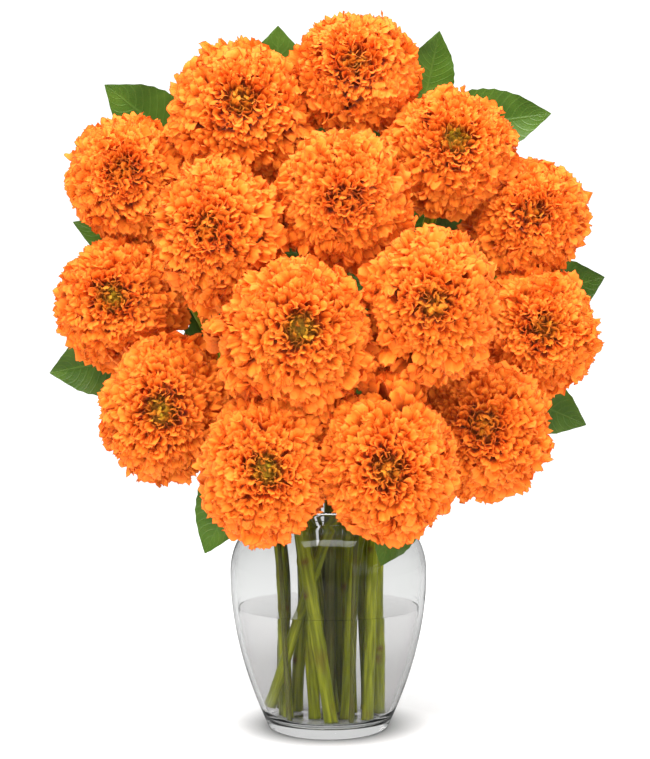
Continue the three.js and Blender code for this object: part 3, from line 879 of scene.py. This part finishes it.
def core_sheet(size, strength, to_world):
    """The inside that shows between the petals, painted dark as shade, with an olive dome behind the eye.
    """
    rows, columns = CORE_GRID
    theta = np.linspace(0, math.radians(150), rows)[:, None]
    phi = angles_round(columns)[None]
    eye = np.exp(-(np.degrees(theta) / EYE_FADE) ** 2)
    points = bun(theta + 0 * phi, phi + 0 * theta, size * CORE_SHARE)
    points[..., 2] *= CORE_SHARE + EYE_SWELL * eye
    points[..., 2] -= CORE_BACK
    points = moved(points, to_world)[None]
    marks = marks_of(points, tint=eye * min(strength, 1))
    return points, quads_of(1, rows, columns, closed=True)[:, ::-1], marks, 1


def build_head(number):
    """A flower head: its core, and its florets by kind."""
    flower = MARIGOLDS[number - 1]
    rng = np.random.default_rng(1000 + number)
    turned = UP.rotation_difference(facing(flower))
    to_world = np.array(Matrix.Translation(Vector(flower["at"])) @ turned.to_matrix().to_4x4())
    fronts = [f for f in MARIGOLDS if f["at"][1] < flower["at"][1] - 1
              and (Vector(f["at"]) - Vector(flower["at"])).length < NEIGHBOUR]
    theta, phi = floret_places()
    theta = np.radians(np.maximum(theta + rng.normal(0, 1.2, len(theta)), 1.0))
    phi = phi + rng.uniform(0, 6.28) + rng.normal(0, 0.05, len(phi))
    degrees = np.degrees(theta)
    sheets = [core_sheet(np.array(flower["size"], float), flower["eye"], to_world)]
    for least, most, rows, columns in FLORET_KINDS:
        kind = (degrees >= least) & (degrees < most)
        sheets.append(florets(theta[kind], phi[kind], flower, rng, rows, columns, to_world, fronts))
    head = piece_of(f"marigold_{number:02d}", sheets, [PETAL, CORE], f"bloom_{number:02d}")
    # The vase mirrors the lamp over it and not the heads, as in the photo
    head.visible_glossy = False


# Cups, stems, twigs and leaves


def marigold_line(flower):
    """The way a flower faces, where its cup begins, and the points that its stem runs through."""
    looks = facing(flower)
    back = Vector(flower["at"]) - looks * HEAD_BACK * HEAD_DEPTH
    cup = back - looks * (CALYX_LENGTH + GAP)
    end = cup - looks * GAP
    before = end - (looks + UP * BEND_RISE).normalized() * BEND_LENGTH
    return looks, cup, route_of(flower["foot"], flower["neck"], [flower["rise"], before, end])


def route_of(foot, neck, route):
    """The points of a stem or twig from its foot through the mouth of the vase."""
    x, y, z = (*foot, STAND_Z)[:3]
    return [(x, y, z), (*neck, NECK_Z), *[tuple(p) for p in route]]


STEM_GRID = (84, 18)
STEM_JOINTS = 5


def build_stem(number):
    """A ribbed stem, with thick joints that have a scar on one side, and its cup."""
    flower = MARIGOLDS[number - 1]
    rng = np.random.default_rng(2000 + number)
    looks, cup, route = marigold_line(flower)
    rows, columns = STEM_GRID
    angle = angles_round(columns)[None]
    along = np.linspace(0, 1, rows)[:, None]
    ribs = 0.045 * np.cos(6 * angle + 2.0 * along + rng.uniform(0, 6)) + 0.02 * np.cos(11 * angle)
    wave = 0.03 * np.sin(9 * along + rng.uniform(0, 6))
    joints = np.zeros((rows, 1))
    scars = np.zeros((rows, columns))
    side = np.arange(columns)
    for at in rng.uniform(0.04, 0.9, STEM_JOINTS):
        joints += 0.09 * np.exp(-((along - at) / 0.012) ** 2)
        where = rng.integers(0, columns)
        distance = np.minimum((side - where) % columns, (where - side) % columns)
        scars += np.exp(-((along - at) / 0.009) ** 2) * np.exp(-(distance[None] / 1.6) ** 2)
    radii = STEM_R * STOUT.get(number, 1) * (0.97 + ribs * 0.8 + wave + joints)
    radii[:3] *= np.array([[1.1], [1.05], [1.02]])
    stem = tube(curve_through(route, rows), radii, rng.uniform())
    marks = stem[2]
    marks[0, 2:-1, :, 3] = np.clip(scars, 0, 1)
    marks[0, :2, :, 3] = 0.35
    material = TWIG if number in BROWN_STEMS else STEM
    piece_of(f"flower_stem_{number:02d}", [stem], [material], f"stem_{number:02d}")
    build_cup(number, looks, cup, rng)


# The cup's outline of radius and height. Its two last rows but one carry the teeth.
CUP_OUTLINE = [(0, 0), (3.2, 0), (4.7, 0.3), (6.2, 2), (7.5, 4.2), (8.6, 6.8), (9.3, 10), (9.7, 13),
               (9.9, 15), (10.4, 16.4), (9.2, 16.2), (0, 15.6)]
TOOTHED_ROWS = (9, 10)
TOOTH = 1.6
CUP_RIBS = 9
CUP_SIDES = 48


def build_cup(number, looks, cup, rng):
    """The cup under a head: ribbed, and toothed where it meets the petals."""
    turned = UP.rotation_difference(looks)
    to_world = np.array(Matrix.Translation(cup) @ turned.to_matrix().to_4x4())
    angle = angles_round(CUP_SIDES)
    teeth = np.abs((angle * CUP_RIBS / (2 * math.pi)) % 1 - 0.5) * 2
    cupped = []
    for i, (radius, z) in enumerate(CUP_OUTLINE):
        ribbed = radius * (1 + 0.035 * np.cos(CUP_RIBS * angle) * min(1, i / 4))
        high = z + (TOOTH * teeth if i in TOOTHED_ROWS else 0 * teeth)
        cupped.append(np.stack([ribbed * np.cos(angle), ribbed * np.sin(angle), high], axis=-1))
    points = moved(np.array(cupped), to_world)[None]
    marks = marks_of(points, np.linspace(0, 0.2, len(CUP_OUTLINE))[None, :, None],
                     (angle / (2 * math.pi))[None, None], rng.uniform())
    sheet = (points, quads_of(1, len(CUP_OUTLINE), CUP_SIDES, closed=True), marks, 0)
    piece_of(f"green_cup_{number:02d}", [sheet], [CALYX], f"calyx_{number:02d}")


# Half a leaf's outline, as shares of its length and of its half width, and its thickness and grid
LEAF_OUTLINE = [(0.1, 0.0), (0.18, 1.05), (0.62, 1.3), (1.0, 0.0)]
LEAF_THICK = 0.45
LEAF_GRID = (27, 13)
# The stalk: the share of the leaf that it runs along, its radius at both ends, and its grid
STALK_SHARE = 0.14
STALK_R = (0.9, 0.65)
STALK_GRID = (6, 8)


def leaf_sheets(start, tip, width, looks, rng):
    """A leaf from twig to tip: a folded blade with toothed edges, and a stalk."""
    start, tip = np.array(start), np.array(tip)
    length = np.linalg.norm(tip - start)
    ahead = (tip - start) / length
    normal = np.array(looks, float)
    normal = unit(normal - ahead * np.dot(normal, ahead))
    across = np.cross(normal, ahead)
    rows, columns = LEAF_GRID
    curve = bezier(LEAF_OUTLINE, rows)
    x, half = curve[:, 0][:, None], curve[:, 1][:, None] * width / 2
    half = half * (1 - 0.15 * smooth((x - 0.75) / 0.2))
    u = np.linspace(-1, 1, columns)[None]
    teeth = 1 + 0.018 * np.abs(u) ** 6 * np.where(np.arange(rows) % 2, 1, -1)[:, None]
    fold = rng.uniform(0.12, 0.3)
    arch = rng.uniform(-0.05, 0.09)
    phase = rng.uniform(0, 6, 2)
    lift = fold * np.abs(u) ** 1.2 * half - arch * length * (x - x ** 2) * 2
    waves = 0.9 * np.sin(13 * x + phase[0] + 1.5 * u) + 0.5 * np.sin(29 * x + phase[1])
    lift = lift + np.abs(u) ** 2 * waves
    lift = lift * np.clip((1 - x) * 6, 0, 1) ** 0.5
    blade = (start + ahead * (x * length)[..., None] + across * (u * half * teeth)[..., None]
             + normal * lift[..., None])[None]
    seed = rng.uniform()
    marks = marks_of(blade, (x * 0.98)[None], ((u + 1) / 2)[None], seed)
    under = blade - normal * LEAF_THICK
    upper_quads = quads_of(1, rows, columns)
    sheets = [(blade, upper_quads, marks, 0), (under, upper_quads[:, ::-1], marks, 0)]
    rim = [(0, j) for j in range(columns)] + [(i, columns - 1) for i in range(1, rows)]
    rim += [(rows - 1, j) for j in range(columns - 2, -1, -1)] + [(i, 0) for i in range(rows - 2, 0, -1)]
    i, j = np.array(rim).T
    edge = np.stack([blade[0, i, j], under[0, i, j]])[None]
    sheets.append((edge, quads_of(1, 2, len(rim), closed=True),
                   np.stack([marks[0, i, j], marks[0, i, j]])[None], 0))
    stalk_line = np.linspace(start, start + ahead * length * STALK_SHARE - normal * 0.3, STALK_GRID[0])
    radii = np.linspace(*STALK_R, STALK_GRID[0])[:, None] * np.ones((1, STALK_GRID[1]))
    sheets.append(tube(stalk_line, radii, seed, 1.0))
    return sheets


TWIG_GRID = (60, 10)


def build_sprig(name, plan):
    """A twig with its last leaf, the others, and those that stand alternately left and right."""
    rng = np.random.default_rng(sum(map(ord, name)))
    rows, columns = TWIG_GRID
    route = route_of(plan["foot"], plan["neck"], plan["route"])
    looks = Vector(plan["face"]).normalized()
    leaves = [(point_on(route, 1)[0], Vector(plan["tip"]), plan["width"])]
    for along, tip, width in plan["others"]:
        leaves.append((point_on(route, along)[0], Vector(tip), width))
    for i, along in enumerate(plan["pairs"]):
        start, ahead = point_on(route, along)
        side = looks.cross(ahead).normalized()
        aside = -SIDE_LEAF["aside"] if i % 2 else SIDE_LEAF["aside"]
        tip = start + (ahead * SIDE_LEAF["ahead"] + side * aside) * plan["length"]
        leaves.append((start, tip, plan["length"] * SIDE_LEAF["width"]))
    angle = angles_round(columns)[None]
    along = np.linspace(0, 1, rows)[:, None]
    radii = TWIG_R * (1 - 0.35 * along + 0.04 * np.cos(3 * angle + 20 * along) + 0.05 * np.sin(60 * along))
    sheets = [tube(curve_through(route, rows), radii, rng.uniform(), look=1)]
    for start, tip, width in leaves:
        sheets += leaf_sheets(start, tip, width, looks, rng)
    piece_of("lemon_" + name, sheets, [LEAF, TWIG], name)


build_vase()
build_water()
for number in range(1, len(MARIGOLDS) + 1):
    build_stem(number)
    build_head(number)
for name, plan in SPRIGS.items():
    build_sprig(name, plan)

# Floor, light and camera


def build_floor():
    bpy.ops.mesh.primitive_circle_add(vertices=96, radius=2.2, fill_type="NGON", location=(0, 0.3, 0))
    floor = bpy.context.object
    floor.name = "pale_floor"
    floor.data.materials.append(floor_material())


def area_light(name, place, towards, size, power, mirrored):
    """A soft lamp. One that is mirrored shows in gloss and glass."""
    lamp = bpy.data.lights.new(name, "AREA")
    lamp.shape = "RECTANGLE"
    lamp.size, lamp.size_y = size
    lamp.energy = power
    made = placed(name, lamp)
    made.location = place
    made.visible_glossy = mirrored
    made.rotation_euler = (Vector(towards) - Vector(place)).to_track_quat("-Z", "Y").to_euler()


def build_world():
    """A white backdrop. Its light comes mostly from above, and gloss and glass see a dimmer room."""
    world = bpy.data.worlds.new("studio")
    bpy.context.scene.world = world
    world.use_nodes = True
    tree = world.node_tree
    tree.nodes.clear()
    way = add(tree, "TexCoord").outputs["Generated"]
    apart = add(tree, "SeparateXYZ", {0: way})
    height = math_of(tree, "ADD", times(tree, apart.outputs[2], 0.5), 0.5)
    sky = ramped(tree, height, [(0.0, (0.4, 0.4, 0.4)), (0.5, (0.55, 0.55, 0.55)), (0.75, (1, 1, 1))])
    rays = add(tree, "LightPath").outputs
    mirrored = ramped(tree, height, [(0.6, (0.15, 0.15, 0.15)), (0.85, (0.6, 0.6, 0.6))])
    colour = mixed(tree, rays["Is Glossy Ray"], sky, mirrored)
    colour = mixed(tree, rays["Is Transmission Ray"], colour, (0.6, 0.6, 0.6, 1))
    colour = mixed(tree, rays["Is Camera Ray"], colour, (1, 1, 1, 1))
    shade = add(tree, "Background", {"Color": colour, "Strength": 1.2})
    out = add(tree, "OutputWorld")
    tree.links.new(shade.outputs[0], out.inputs[0])


def build_camera():
    lens = bpy.data.cameras.new("camera")
    lens.lens = LENS
    lens.sensor_width = SENSOR
    lens.sensor_fit = "AUTO"
    camera = placed("camera", lens)
    camera.location = [c * MM for c in CAMERA]
    camera.rotation_euler = (math.radians(90), 0, 0)
    bpy.context.scene.camera = camera


build_floor()
build_world()
area_light("key", (-0.5, -1.0, 1.3), (0, 0, 0.3), (0.7, 0.7), 18, False)
area_light("fill", (0.9, -0.9, 0.6), (0, 0, 0.25), (0.8, 0.8), 5, False)
area_light("top", (0, -0.48, 1.35), (0, 0, 0.2), (1.15, 0.4), 20, True)
build_camera()
bpy.context.scene.view_settings.view_transform = "Standard"
